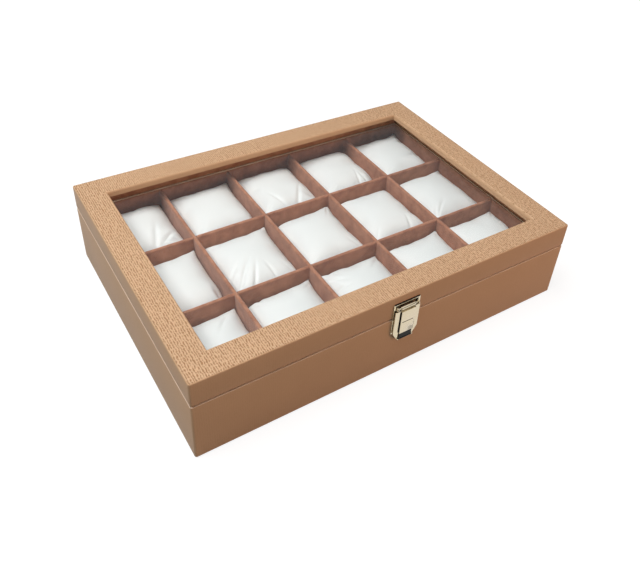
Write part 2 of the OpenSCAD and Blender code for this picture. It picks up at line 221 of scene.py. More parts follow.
def select_edges(piece, test):
    """Selects, in edit mode, the edges whose two ends pass the test."""
    bpy.context.tool_settings.mesh_select_mode = (False, True, False)
    mesh = bmesh.from_edit_mesh(piece.data)
    for face in mesh.faces:
        face.select = False
    for edge in mesh.edges:
        edge.select = test(edge.verts[0].co, edge.verts[1].co)
    bmesh.update_edit_mesh(piece.data)


def select_faces(piece, test):
    """Selects, in edit mode, the faces whose middle and normal pass the test."""
    bpy.context.tool_settings.mesh_select_mode = (False, False, True)
    mesh = bmesh.from_edit_mesh(piece.data)
    for face in mesh.faces:
        face.select = test(face.calc_center_median(), face.normal)
    mesh.select_flush_mode()
    bmesh.update_edit_mesh(piece.data)


def apply_modifier(piece, kind, **settings):
    """Adds a modifier with its settings and applies it."""
    select_only(piece)
    modifier = piece.modifiers.new(kind.title(), kind)
    for name, value in settings.items():
        setattr(modifier, name, value)
    bpy.ops.object.modifier_apply(modifier=modifier.name)


def smooth_by_angle(piece, degrees=35):
    """Shades a piece smooth, with its sharper edges kept."""
    select_only(piece)
    bpy.ops.object.shade_smooth_by_angle(angle=math.radians(degrees))


def set_material(piece, material):
    """Gives a piece one material."""
    piece.data.materials.clear()
    piece.data.materials.append(material)


def fit_piece(piece, node, material):
    """Puts a new piece in the place of a CAD node, on the node's body."""
    set_material(piece, material)
    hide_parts(node)
    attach(piece, BODY_OF[node])


# Shader building

def add_node(tree, kind, inputs=None, **settings):
    """Adds a shader node with its settings, and sets or links its inputs."""
    node = tree.nodes.new(kind)
    for name, value in settings.items():
        setattr(node, name, value)
    for name, value in (inputs or {}).items():
        if isinstance(value, bpy.types.NodeSocket):
            tree.links.new(value, node.inputs[name])
        else:
            node.inputs[name].default_value = value
    return node


def new_material(name):
    """An empty material and its node tree."""
    material = bpy.data.materials.new(name)
    material.use_nodes = True
    material.node_tree.nodes.clear()
    return material, material.node_tree


def shown(tree, shader):
    """Sends a shader to the material's output."""
    add_node(tree, "ShaderNodeOutputMaterial", {"Surface": shader.outputs[0]})


def rgba(colour):
    """A colour setting as the four numbers of a socket."""
    return (*colour[:3], 1)


def ranged(tree, value, start=(0, 1), end=(0, 1), **settings):
    """A number brought from one range to another, and held inside it."""
    inputs = {"Value": value, "From Min": start[0], "From Max": start[1],
              "To Min": end[0], "To Max": end[1]}
    return add_node(tree, "ShaderNodeMapRange", inputs, **settings).outputs[0]


def maths(tree, operation, *values):
    """A number worked out from others."""
    inputs = dict(enumerate(values))
    return add_node(tree, "ShaderNodeMath", inputs, operation=operation).outputs[0]


def vector_maths(tree, operation, *values):
    """A vector worked out from others."""
    inputs = dict(enumerate(values))
    return add_node(tree, "ShaderNodeVectorMath", inputs, operation=operation).outputs[0]


def spots(tree, place, size, detail, inputs=None):
    """Noise with spots of a size."""
    inputs = {"Vector": place, "Scale": 1 / size, "Detail": detail, **(inputs or {})}
    return add_node(tree, "ShaderNodeTexNoise", inputs).outputs["Fac"]


def mixed_colour(tree, factor, first, second):
    """Colour output of a mix of two colours."""
    mix = add_node(tree, "ShaderNodeMix", {0: factor, 6: first, 7: second}, data_type="RGBA")
    return mix.outputs[2]


def band(tree, level, low, high):
    """One where a level lies between two others, and zero well outside them."""
    offset = maths(tree, "SUBTRACT", level, (low + high) / 2)
    far = maths(tree, "ABSOLUTE", offset)
    half = (high - low) / 2
    return ranged(tree, far, (half, half + 0.1 * MM), (1, 0))


def leatherette(settings):
    """Embossed polyurethane leatherette: soft sheen over wavy ripples that run from front to back."""
    material, tree = new_material("leatherette_rippled")
    sheet = add_node(tree, "ShaderNodeUVMap", uv_map="sheet").outputs[0]
    coordinates = add_node(tree, "ShaderNodeTexCoord").outputs
    # Bends in a ripple are a little longer than the ripples are wide
    drawn_out = add_node(
        tree, "ShaderNodeMapping", {"Vector": sheet, "Scale": (1, 0.7, 1)},
    ).outputs[0]
    spacing = settings.grain / MM
    ripples = add_node(
        tree, "ShaderNodeTexWave",
        {"Vector": drawn_out, "Scale": WAVE_PERIOD / spacing, "Distortion": 4, "Detail": 2,
         "Detail Scale": 2.2, "Detail Roughness": 0.5},
        bands_direction="X",
    ).outputs["Fac"]
    gaps = add_node(
        tree, "ShaderNodeTexNoise", {"Vector": sheet, "Scale": 0.9 / spacing, "Detail": 1},
    ).outputs["Fac"]
    broken = ranged(tree, gaps, (0.36, 0.56), (0.2, 1))
    # The sheet is drawn tight over the walls, where the ripples nearly vanish
    facing = add_node(tree, "ShaderNodeSeparateXYZ", {0: coordinates["Normal"]}).outputs["Z"]
    kept = ranged(tree, facing, (0.75, 0.97), (0.1, 1))
    share = maths(tree, "MULTIPLY", broken, kept)
    depth = ranged(tree, ripples, (0, 1), (1, 0), interpolation_type="SMOOTHSTEP")
    sunk = maths(tree, "MULTIPLY", depth, share)
    height = maths(tree, "SUBTRACT", 1, sunk)
    # On the walls the crown takes the darker wall colour: painted shade for the weaker light on the
    # sides
    crown = mixed_colour(tree, kept, rgba(settings.drawn), rgba(settings.crown))
    base = mixed_colour(tree, height, rgba(settings.crevice), crown)
    # The fold along the base's rim gets a painted highlight, a pale band where its rounded top edge
    # catches the light, and the one along the lid's gets a painted shadow, a dark band for the shade
    # where it turns down into the gap
    level = add_node(tree, "ShaderNodeSeparateXYZ", {0: coordinates["Object"]}).outputs["Z"]
    highlighted = band(tree, level, BASE_HIGH.z - 0.7 * MM, BASE_HIGH.z - 0.1 * MM)
    shadowed = band(tree, level, LID_LOW.z + 0.12 * MM, LID_LOW.z + 0.5 * MM)
    base = mixed_colour(tree, highlighted, base, rgba(settings.rim_highlight))
    base = mixed_colour(tree, shadowed, base, rgba(settings.seam_shadow))
    patches = spots(tree, coordinates["Object"], 30 * MM, 2)
    tone = ranged(tree, patches, (0, 1), (0.96, 1.04))
    colour = vector_maths(tree, "MULTIPLY", base, tone)
    rough = ranged(tree, height, (0, 1), (0.62, 0.46))
    bump = add_node(
        tree, "ShaderNodeBump", {"Height": height, "Strength": 0.9, "Distance": 0.3 * MM},
    )
    shader = add_node(
        tree, "ShaderNodeBsdfPrincipled",
        {"Base Color": colour, "Roughness": rough, "Normal": bump.outputs[0],
         "Specular IOR Level": 0.06},
    )
    shown(tree, shader)
    return material


def suede(settings):
    """Brushed microfibre suede on card: matt, with a faint sheen and patches where the nap turns."""
    material, tree = new_material("suede_microfibre")
    place = add_node(tree, "ShaderNodeTexCoord").outputs["Object"]
    patches = spots(tree, place, settings.patch, 3, {"Roughness": 0.6})
    # Single fibres are far below a millimetre, so they are drawn 0.5 mm wide to show
    fibres = spots(tree, place, 0.5 * MM, 2)
    nap = ranged(tree, patches, (0.35, 0.65))
    speckle = ranged(tree, fibres, (0, 1), (0.9, 1.1))
    base = mixed_colour(tree, nap, rgba(settings.dark), rgba(settings.light))
    colour = vector_maths(tree, "MULTIPLY", base, speckle)
    bump = add_node(
        tree, "ShaderNodeBump", {"Height": fibres, "Strength": 0.35, "Distance": 0.1 * MM},
    )
    shader = add_node(
        tree, "ShaderNodeBsdfPrincipled",
        {"Base Color": colour, "Roughness": 0.92, "Normal": bump.outputs[0],
         "Specular IOR Level": 0.2, "Sheen Weight": 0.25, "Sheen Roughness": 0.45},
    )
    shown(tree, shader)
    return material


def satin(settings):
    """Woven polyester satin: smooth, white and softly glossy, with its floats across the pillow."""
    material, tree = new_material("satin_polyester")
    uv = add_node(tree, "ShaderNodeUVMap", uv_map="cloth").outputs[0]
    place = add_node(tree, "ShaderNodeTexCoord").outputs["Object"]
    # Threads lie 0.15 mm apart, and are drawn 0.6 mm apart to show. The UV map is in millimetres
    threads = add_node(
        tree, "ShaderNodeTexWave",
        {"Vector": uv, "Scale": WAVE_PERIOD / 0.6, "Distortion": 1.5, "Detail": 1,
         "Detail Scale": 0.5},
        bands_direction="Y",
    ).outputs["Fac"]
    crumple = spots(tree, place, 7 * MM, 3)
    fine = add_node(
        tree, "ShaderNodeBump", {"Height": threads, "Strength": 0.05, "Distance": 0.05 * MM},
    )
    soft = add_node(
        tree, "ShaderNodeBump",
        {"Height": crumple, "Strength": 0.25, "Distance": 0.6 * MM, "Normal": fine.outputs[0]},
    )
    rough = ranged(tree, threads, (0, 1), (0.42, 0.52))
    shader = add_node(
        tree, "ShaderNodeBsdfPrincipled",
        {"Base Color": rgba(settings.satin), "Roughness": rough, "Normal": soft.outputs[0],
         "Specular IOR Level": 0.4, "Sheen Weight": 0.12, "Sheen Roughness": 0.3},
    )
    shown(tree, shader)
    return material


def window_glass():
    """Float glass, 2 mm: clear, with a weak mirror image that grows at a slant."""
    material, tree = new_material("glass_float")
    slant = add_node(tree, "ShaderNodeLayerWeight", {"Blend": 0.5}).outputs["Facing"]
    grown = maths(tree, "POWER", slant, 5)
    mirror = ranged(tree, grown, (0, 1), (0.02, 1))
    clear = add_node(tree, "ShaderNodeBsdfTransparent", {"Color": (*linear("#FDFEFE"), 1)})
    gloss = add_node(
        tree, "ShaderNodeBsdfGlossy", {"Color": (*linear("#F4F7FA"), 1), "Roughness": 0.03},
    )
    shader = add_node(
        tree, "ShaderNodeMixShader", {0: mirror, 1: clear.outputs[0], 2: gloss.outputs[0]},
    )
    shown(tree, shader)
    return material


def inside_boxes(tree, place, boxes):
    """One in any of the boxes, given in millimetres by absolute X, Y and Z, and zero elsewhere."""
    spot = vector_maths(tree, "ABSOLUTE", place)
    inside = 0.0
    for low, high in boxes:
        centre = (Vector(low) + Vector(high)) / 2 * MM
        half = (Vector(high) - Vector(low)) / 2 * MM
        offset = vector_maths(tree, "SUBTRACT", spot, centre)
        far = vector_maths(tree, "ABSOLUTE", offset)
        beyond = vector_maths(tree, "SUBTRACT", far, half)
        parts = add_node(tree, "ShaderNodeSeparateXYZ", {0: beyond}).outputs
        wide = maths(tree, "MAXIMUM", parts["X"], parts["Y"])
        most = maths(tree, "MAXIMUM", wide, parts["Z"])
        within = ranged(tree, most, (0.04 * MM, -0.04 * MM))
        inside = maths(tree, "MAXIMUM", inside, within)
    return inside


def plated_metal(name, colour, roughness, black=None, shaded_recesses=()):
    """Pressed steel with bright electroplating: fine polishing marks along X and a slight bloom.

    Inside the given boxes the plating's colour is painted near black: painted shade and dark
    reflections for the recesses.
    """
    material, tree = new_material(name)
    place = add_node(tree, "ShaderNodeTexCoord").outputs["Object"]
    # Polishing marks are drawn 0.2 mm wide and 5 mm long
    marks_place = add_node(
        tree, "ShaderNodeMapping", {"Vector": place, "Scale": (0.04, 1, 1)},
    ).outputs[0]
    marks = spots(tree, marks_place, 0.2 * MM, 2)
    bloom = spots(tree, place, 6 * MM, 2)
    rough = ranged(tree, bloom, (0, 1), (roughness * 0.75, roughness * 1.3))
    tone = ranged(tree, marks, (0, 1), (0.95, 1.03))
    tinted = vector_maths(tree, "MULTIPLY", rgba(colour)[:3], tone)
    # Painted shade: inside the given boxes the plating turns near black
    if shaded_recesses:
        tinted = mixed_colour(tree, inside_boxes(tree, place, shaded_recesses), tinted, rgba(black))
    bump = add_node(
        tree, "ShaderNodeBump", {"Height": marks, "Strength": 0.12, "Distance": 0.02 * MM},
    )
    shader = add_node(
        tree, "ShaderNodeBsdfPrincipled",
        {"Base Color": tinted, "Roughness": rough, "Metallic": 1, "Normal": bump.outputs[0]},
    )
    shown(tree, shader)
    return material


def fibreboard():
    """Raw medium-density fibreboard: dull light brown with fine fibre specks."""
    material, tree = new_material("fibreboard_raw")
    place = add_node(tree, "ShaderNodeTexCoord").outputs["Object"]
    fibres = spots(tree, place, 1.2 * MM, 4)
    colour = mixed_colour(tree, fibres, (*linear("#8E6B45"), 1), (*linear("#CDA877"), 1))
    bump = add_node(
        tree, "ShaderNodeBump", {"Height": fibres, "Strength": 0.3, "Distance": 0.1 * MM},
    )
    shader = add_node(
        tree, "ShaderNodeBsdfPrincipled",
        {"Base Color": colour, "Roughness": 0.85, "Normal": bump.outputs[0]},
    )
    shown(tree, shader)
    return material


def felt_paper():
    """Needled felt paper under the box: near black, matt, with loose fibres."""
    material, tree = new_material("felt_paper")
    place = add_node(tree, "ShaderNodeTexCoord").outputs["Object"]
    fibres = spots(tree, place, 1.5 * MM, 5, {"Distortion": 1.2})
    colour = mixed_colour(tree, fibres, (*linear("#1F1A18"), 1), (*linear("#4A403B"), 1))
    bump = add_node(
        tree, "ShaderNodeBump", {"Height": fibres, "Strength": 0.5, "Distance": 0.15 * MM},
    )
    shader = add_node(
        tree, "ShaderNodeBsdfPrincipled",
        {"Base Color": colour, "Roughness": 0.95, "Normal": bump.outputs[0],
         "Specular IOR Level": 0.2, "Sheen Weight": 0.2},
    )
    shown(tree, shader)
    return material


# Sizes read from the frame

def corners(node):
    """Lowest and highest corner of a CAD node."""
    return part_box(node)


BASE_LOW, BASE_HIGH = corners("base_leatherette")
LID_LOW, LID_HIGH = corners("lid_leatherette")
BOARD_HIGH = corners("base_back_wall")[1]
INNER_HIGH = corners("base_side_lining")[1]
SHEET = BASE_HIGH.x - BOARD_HIGH.x
WALL = BOARD_HIGH.x - INNER_HIGH.x
RAIL_Z = corners("lid_front_rail")[0].z
WINDOW_HALF_D = -corners("lid_front_rail")[1].y - SHEET
RAIL = LID_HIGH.y - WINDOW_HALF_D
TURN = BASE_HIGH.z - INNER_HIGH.z

ROWS = ("front", "middle", "back")
COLUMNS = range(1, 6)


def middle(node):
    """Middle of a CAD node's box."""
    low, high = corners(node)
    return (low + high) / 2


PITCH_X = middle("short_divider_2").x - middle("short_divider_1").x
PITCH_Y = middle("long_divider_2").y - middle("long_divider_1").y
DIVIDER = corners("long_divider_1")[1].y - corners("long_divider_1")[0].y
CELL = Vector((PITCH_X - DIVIDER, PITCH_Y - DIVIDER))
FLOOR_Z = corners("floor_lining")[1].z


# Covering

def inset_and_open(piece, level, upwards, border, turn):
    """Opens the flat top or bottom of a block, leaving a border and, if asked, a turn inside it."""
    bpy.ops.object.mode_set(mode="EDIT")
    select_faces(piece, lambda mid, normal: normal.z * upwards > 0.9 and abs(mid.z - level) < TINY)
    bpy.ops.mesh.inset(thickness=border, depth=0)
    if turn:
        bpy.ops.mesh.extrude_region_move(TRANSFORM_OT_translate={"value": (0, 0, -upwards * turn)})
    bpy.ops.mesh.delete(type="FACE")
    bpy.ops.object.mode_set(mode="OBJECT")


def round_edges(piece, test, radius, segments):
    """Bevels the edges whose two ends pass the test."""
    bpy.ops.object.mode_set(mode="EDIT")
    select_edges(piece, test)
    bpy.ops.mesh.bevel(offset=radius, segments=segments, profile=0.5, affect="EDGES")
    bpy.ops.object.mode_set(mode="OBJECT")


def wrap_case(name, low, high, top, bottom, settings):
    """A sheet wrapped round half of the case. Top and bottom give border, turn and inner radius."""
    wrap = add_block(name, low, high)
    sides = ((high.z, 1, top), (low.z, -1, bottom))
    for level, upwards, (border, turn, rounding) in sides:
        inset_and_open(wrap, level, upwards, border, turn)
    apply_modifier(wrap, "SOLIDIFY", thickness=SHEET, offset=-1, use_even_offset=True)

    def at_corner(point, border):
        across = abs(abs(point.x) - (high.x - border)) < TINY
        return across and abs(abs(point.y) - (high.y - border)) < TINY

    for level, upwards, (border, turn, rounding) in sides:
        if turn:
            round_edges(
                wrap,
                lambda a, b: all(abs(p.z - level) < TINY and at_corner(p, border) for p in (a, b)),
                rounding, 4,
            )
    round_edges(
        wrap,
        lambda a, b: abs(a.z - b.z) > TINY and at_corner(a, 0) and at_corner(b, 0),
        settings.upright_radius, 5,
    )

    radius = settings.upright_radius

    def on_outline(point):
        out = Vector((abs(point.x) - high.x, abs(point.y) - high.y)) + Vector((radius, radius))
        distance = out.length if min(out) > 0 else max(out)
        return abs(distance - radius) < 0.04 * MM

    for level in (high.z, low.z):
        round_edges(
            wrap,
            lambda a, b: all(abs(p.z - level) < TINY and on_outline(p) for p in (a, b, (a + b) / 2)),
            settings.edge_radius, 4,
        )
    smooth_by_angle(wrap)
    return wrap


def lay_sheet(wrap):
    """Gives a covering its UV layer, in millimetres of sheet, with the ripples along V."""
    mesh = wrap.data
    while mesh.uv_layers:
        mesh.uv_layers.remove(mesh.uv_layers[0])
    layer = mesh.uv_layers.new(name="sheet")
    high = max(vertex.co.z for vertex in mesh.vertices)
    for face in mesh.polygons:
        for corner in face.loop_indices:
            spot = mesh.vertices[mesh.loops[corner].vertex_index].co
            u, v, drop = spot.x, spot.y, spot.z - high
            if abs(face.normal.x) > abs(face.normal.y):
                u -= math.copysign(drop, face.normal.x)
            else:
                v -= math.copysign(drop, face.normal.y)
            layer.data[corner].uv = (u / MM, v / MM)


class DISPLAYBOX_OT_base_covering(Operator):
    """Wrap the base in leatherette, with its hem, rim and the turn inside"""

    bl_idname = "display_box.base_covering"
    bl_label = "Base covering"

    def execute(self, context):
        settings = context.scene.display_box.covering
        wrap = wrap_case(
            "base_covering", BASE_LOW, BASE_HIGH,
            (SHEET + WALL + SHEET, TURN, settings.rim_radius), (SHEET + WALL, 0, 0), settings,
        )
        lay_sheet(wrap)
        fit_piece(wrap, "base_leatherette", leatherette(settings))
        return {"FINISHED"}


class DISPLAYBOX_OT_lid_covering(Operator):
    """Wrap the lid in leatherette, turned round the window and inside the rim"""

    bl_idname = "display_box.lid_covering"
    bl_label = "Lid covering"

    def execute(self, context):
        settings = context.scene.display_box.covering
        wrap = wrap_case(
            "lid_covering", LID_LOW, LID_HIGH,
            (RAIL, LID_HIGH.z - RAIL_Z, settings.window_radius),
            (SHEET + WALL + SHEET, TURN, settings.rim_radius), settings,
        )
        lay_sheet(wrap)
        fit_piece(wrap, "lid_leatherette", leatherette(settings))
        return {"FINISHED"}


# Case and lining

class DISPLAYBOX_OT_boards(Operator):
    """Finish the fibreboard walls, rails and bottom, and the sheet under them"""

    bl_idname = "display_box.boards"
    bl_label = "Boards and bottom sheet"

    def execute(self, context):
        board = fibreboard()
        for name, node in NODES.items():
            if name.endswith(("_wall", "_rail")) or name == "bottom_board":
                set_material(node, board)
        set_material(NODES["bottom_cover"], felt_paper())
        return {"FINISHED"}


class DISPLAYBOX_OT_lining(Operator):
    """Finish the suede-covered lining and dividers"""

    bl_idname = "display_box.lining"
    bl_label = "Lining and dividers"

    def execute(self, context):
        cloth = suede(context.scene.display_box.lining)
        for name, node in NODES.items():
            if name.endswith("_lining") or "_divider_" in name:
                set_material(node, cloth)
        return {"FINISHED"}


class DISPLAYBOX_OT_window(Operator):
    """Finish the glass in the lid"""

    bl_idname = "display_box.window"
    bl_label = "Window glass"

    def execute(self, context):
        set_material(NODES["glass_pane"], window_glass())
        return {"FINISHED"}


# Latch and hinges

def rounded_copy(node, name, radius):
    """A copy of a CAD node with its sharp edges rounded, as tumbling leaves pressed metal."""
    piece = bpy.data.objects.new(name, NODES[node].data.copy())
    bpy.context.scene.collection.objects.link(piece)
    select_only(piece)
    bpy.ops.mesh.customdata_custom_splitnormals_clear()
    bpy.ops.object.mode_set(mode="EDIT")
    bpy.ops.mesh.select_all(action="SELECT")
    bpy.ops.mesh.remove_doubles(threshold=1e-6)
    bpy.ops.mesh.dissolve_limited(angle_limit=math.radians(1))
    bpy.ops.object.mode_set(mode="OBJECT")
    apply_modifier(
        piece, "BEVEL", width=radius, segments=3, limit_method="ANGLE",
        angle_limit=math.radians(40), use_clamp_overlap=True,
    )
    smooth_by_angle(piece, 40)
    return piece


# Boxes of the latch painted near black, as painted shade and dark reflections, in millimetres by
# absolute X, Y and Z:
# the flap's mouth and rim, its engraved line, the sides of its raised middle, the plates behind it, the
# plate's top edge
FRONT = -BASE_LOW.y / MM
SHADED_RECESSES = (
    ((-1, FRONT + 1.5, 33), (6.5, FRONT + 4.3, 40.75)),
    ((-1, FRONT + 3.7, 52), (5.25, FRONT + 4.05, 52.8)),
    ((6.3, FRONT + 2.4, 41.2), (7.4, FRONT + 3.95, 63.6)),
    ((-1, FRONT - 1, 40), (10.7, FRONT + 1.1, 69.3)),
    ((-1, FRONT - 1, 70), (11.9, FRONT + 1.1, 71)),
)


def shade_mouth(flap):
    """Joins a thin sheet to the flap, just behind the face of its raised middle, across its mouth,
    where it is painted black as painted shade for the mouth's inside.
    """
    shade_sheet = add_block(
        "mouth_shade_sheet", Vector((-6, -FRONT - 3.4, 34.3)) * MM, Vector((6, -FRONT - 2.9, 41.3)) * MM,
    )
    select_only(flap)
    shade_sheet.select_set(True)
    bpy.ops.object.join()


class DISPLAYBOX_OT_latch(Operator):
    """Make the latch's plates, flap, pin and nails in pale gold plated steel"""

    bl_idname = "display_box.latch"
    bl_label = "Latch"

    def execute(self, context):
        settings = context.scene.display_box.metal
        metal = plated_metal(
            "steel_pale_gold_plated", settings.latch, 0.2, settings.black, SHADED_RECESSES,
        )
        for node in ("latch_base_plate", "latch_lid_plate", "latch_flap", "latch_pin",
                     "base_latch_nails", "lid_latch_nails"):
            piece = rounded_copy(node, node + "_plated", settings.edge)
            if node == "latch_flap":
                # A sheet across the flap's mouth, painted black as painted shade
                shade_mouth(piece)
            fit_piece(piece, node, metal)
        return {"FINISHED"}


class DISPLAYBOX_OT_hinges(Operator):
    """Make the two hinges and their screws in brass plated steel"""

    bl_idname = "display_box.hinges"
    bl_label = "Hinges"

    def execute(self, context):
        settings = context.scene.display_box.metal
        metal = plated_metal("steel_brass_plated", settings.hinge, 0.28)
        for node in sorted(NODES):
            if "hinge" in node:
                piece = rounded_copy(node, node + "_plated", settings.edge)
                fit_piece(piece, node, metal)
        return {"FINISHED"}


# Pillows

CLOTH_SCALE = 10  # the cloth solver works best on pieces of half a metre or so
GRID_U = 44
GRID_V = 52
CUT_W = 88  # a panel's cloth across the pillow and along it, in millimetres
CUT_D = 100
SEAM_H = 26 * MM
CROWN_H = 20 * MM
TALLEST = 47.6 * MM
PILLOW_LIFT = 0.3 * MM  # gap under a pillow


def pillow_place(u, v, half, look):
    """A point of the sewn line's surface at u and v, from -1 to 1 across the pillow."""
    x = half.x * u * (1 - 0.03 * (1 - v * v))
    y = half.y * v * (1 - 0.03 * (1 - u * u))
    z = SEAM_H
    for (side_x, side_y), (ear, tuck) in look["corners"].items():
        share = max(0, u * side_x) * max(0, v * side_y)
        z += ear * share ** 4
        pull = tuck * share ** 3
        x -= side_x * pull
        y -= side_y * pull
    return Vector((x, y, z))


def fullness(u, v):
    """How full the pillow is, from 0 at the sewn line to 1 in the middle."""
    edge = 3.8
    return math.sqrt(max(0, 1 - abs(u) ** edge) * max(0, 1 - abs(v) ** edge))


def slack_at(u, v, look, shift):
    """Share of the spare cloth at a point: most at the sewn edges and corners, less on the crown."""
    edge = max(abs(u), abs(v)) ** 6
    corner = (u * v) ** 2
    patch = 0.5 + 0.5 * noise.noise(Vector((u * 1.4, v * 1.4, 9)) + shift)
    share = look["loose"] * patch + edge * 0.55 + corner * 0.6
    for (side_x, side_y), (_, tuck) in look["corners"].items():
        near = max(0, u * side_x) * max(0, v * side_y)
        share += tuck / (8 * MM) * near ** 2
    return min(1, share)


def pillow_bag(name, look, half):
    """A sewn bag of two panels at the cloth solver's scale, with its slack as a vertex group."""
    shift = Vector((look["seed"] * 3.7, look["seed"] * 1.3, 0))
    points = []
    slack = []
    index = {}

    def point(i, j, panel):
        rim = i in (0, GRID_U) or j in (0, GRID_V)
        key = (i, j, 0 if rim else panel)
        if key not in index:
            u = math.sin(math.pi * (i / GRID_U - 0.5) * 0.92) / math.sin(math.pi * 0.46)
            v = math.sin(math.pi * (j / GRID_V - 0.5) * 0.92) / math.sin(math.pi * 0.46)
            place = pillow_place(u, v, half, look)
            full = fullness(u, v)
            ripple = 1.2 * MM * noise.noise(Vector((u * 2.3, v * 2.3, panel * 5.0)) + shift)
            if panel > 0:
                place.z += (CROWN_H + look["fill"]) * full + ripple
            else:
                place.z -= place.z * min(0.985, 1.2 * full)
            index[key] = len(points)
            points.append(place * CLOTH_SCALE)
            slack.append(slack_at(u, v, look, shift))
        return index[key]

    faces = []
    cloth_uv = []
    for panel in (1, -1):
        for i in range(GRID_U):
            for j in range(GRID_V):
                ring = [(i, j), (i + 1, j), (i + 1, j + 1), (i, j + 1)]
                if panel < 0:
                    ring.reverse()
                faces.append([point(a, b, panel) for a, b in ring])
                # Threads are counted in millimetres of cloth
                cloth_uv += [(a / GRID_U * CUT_W, b / GRID_V * CUT_D) for a, b in ring]
    mesh = bpy.data.meshes.new(name)
    mesh.from_pydata(points, [], faces)
    layer = mesh.uv_layers.new(name="cloth")
    layer.data.foreach_set("uv", [value for pair in cloth_uv for value in pair])
    bag = bpy.data.objects.new(name, mesh)
    bpy.context.scene.collection.objects.link(bag)
    group = bag.vertex_groups.new(name="slack")
    for number, share in enumerate(slack):
        group.add([number], share, "REPLACE")
    return bag


def compartment(half, height):
    """The walls and floor of a compartment at the cloth solver's scale, to stop the cloth."""
    thick = 0.04
    tall = height * CLOTH_SCALE
    x, y = half.x * CLOTH_SCALE, half.y * CLOTH_SCALE
    slabs = [
        ((-x - thick, -y - thick, -thick), (x + thick, y + thick, 0)),
        ((-x - thick, -y - thick, 0), (-x, y + thick, tall)),
        ((x, -y - thick, 0), (x + thick, y + thick, tall)),
        ((-x, -y - thick, 0), (x, -y, tall)),
        ((-x, y, 0), (x, y + thick, tall)),
    ]
    stops = []
    for number, (low, high) in enumerate(slabs):
        stop = add_block(f"stop_{number}", low, high)
        stop.modifiers.new("Collision", "COLLISION")
        stop.collision.thickness_outer = 0.004
        stop.collision.cloth_friction = 4
        stop.collision.damping = 0.4
        stops.append(stop)
    return stops


def add_cloth(bag, look, settings):
    """Lets a bag settle as cloth with a filling."""
    cloth = bag.modifiers.new("Cloth", "CLOTH")
    solver = cloth.settings
    solver.quality = 7
    solver.mass = 0.25
    solver.tension_stiffness = 22
    solver.compression_stiffness = 22
    solver.shear_stiffness = 6
    solver.bending_stiffness = look["stiff"]
    solver.air_damping = 2
    solver.use_pressure = True
    solver.uniform_pressure_force = settings.pressure * look["tight"]
    solver.vertex_group_shrink = "slack"
    solver.shrink_min = -0.05
    solver.shrink_max = -settings.slack
    solver.effector_weights.gravity = settings.weight
    touch = cloth.collision_settings
    touch.use_collision = True
    touch.distance_min = 0.004
    touch.collision_quality = 3
    touch.use_self_collision = False


def settle(bags, steps):
    """Steps the cloth and gives each bag its settled shape."""
    scene = bpy.context.scene
    scene.frame_start = 1
    scene.frame_end = steps
    for bag in bags:
        bag.modifiers["Cloth"].point_cache.frame_end = steps
    for step in range(1, steps + 1):
        scene.frame_set(step)
    for bag in bags:
        select_only(bag)
        bpy.ops.object.modifier_apply(modifier="Cloth")
        bag.vertex_groups.clear()
    scene.frame_set(1)


def place_in_compartment(bag, centre, play):
    """Brings a settled bag to size and place, held clear of its compartment all round."""
    room = CELL / 2 - Vector((play, play))
    highest = max(vertex.co.z for vertex in bag.data.vertices) / CLOTH_SCALE
    press = min(1, TALLEST / highest)
    for vertex in bag.data.vertices:
        spot = vertex.co / CLOTH_SCALE
        spot.x = min(room.x, max(-room.x, spot.x))
        spot.y = min(room.y, max(-room.y, spot.y))
        spot.z = max(0, spot.z * press)
        vertex.co = spot + Vector((centre.x, centre.y, FLOOR_Z + PILLOW_LIFT))


def crease(bag, centre, folds):
    """Presses folds into a pillow's top: place as shares of the half, turn, half sizes and depth."""
    half = CELL / 2
    marks = []
    for x, y, turn, length, width, depth in folds:
        along = Vector((math.cos(math.radians(turn)), math.sin(math.radians(turn))))
        marks.append((Vector((x * half.x, y * half.y)) + centre, along, length, width, depth))
    for vertex in bag.data.vertices:
        spot = vertex.co
        top = min(1, max(0, (spot.z - SEAM_H) / (6 * MM)))
        for place, along, length, width, depth in marks if top else ():
            reach = (spot.xy - place) / MM
            far = reach.dot(along) / length
            side = (reach.y * along.x - reach.x * along.y) / width
            if abs(far) < 2.2 and abs(side) < 2.5:
                # A dip with a low ridge on its far side, as cloth lies over a fold
                spot.z -= depth * MM * top * math.exp(-far * far - side * side) * (1 - 0.8 * side)


def pillow_look(row, column):
    """How one pillow differs from the next: fill, slack, ears and tucked corners, front left first."""
    draw = random.Random(ROWS.index(row) * 10 + column)
    look = {
        "seed": ROWS.index(row) * 10 + column,
        "fill": draw.uniform(-1, 1.2) * MM,
        "loose": draw.uniform(0.1, 0.3),
        "tight": draw.uniform(0.85, 1.15),
        "stiff": draw.uniform(0.4, 1),
        "corners": {},
        "folds": list(SHOWN_FOLDS.get((row, column), ())),
    }
    for side_x in (-1, 1):
        for side_y in (-1, 1):
            ear = draw.uniform(5, 10) * MM
            tuck = draw.uniform(0, 2) * MM
            look["corners"][side_x, side_y] = (ear, tuck)
            # Each corner has a short fold that points at the middle
            turn = math.degrees(math.atan2(side_y * 0.9, side_x)) + draw.uniform(-18, 18)
            look["folds"].append(
                (side_x * 0.74, side_y * 0.74, turn, draw.uniform(5, 11), draw.uniform(1.2, 2),
                 draw.uniform(0.3, 0.9))
            )
    for (side_x, side_y), (ear, tuck) in SHOWN_CORNERS.get((row, column), {}).items():
        look["corners"][side_x, side_y] = (ear * MM, tuck * MM)
    return look


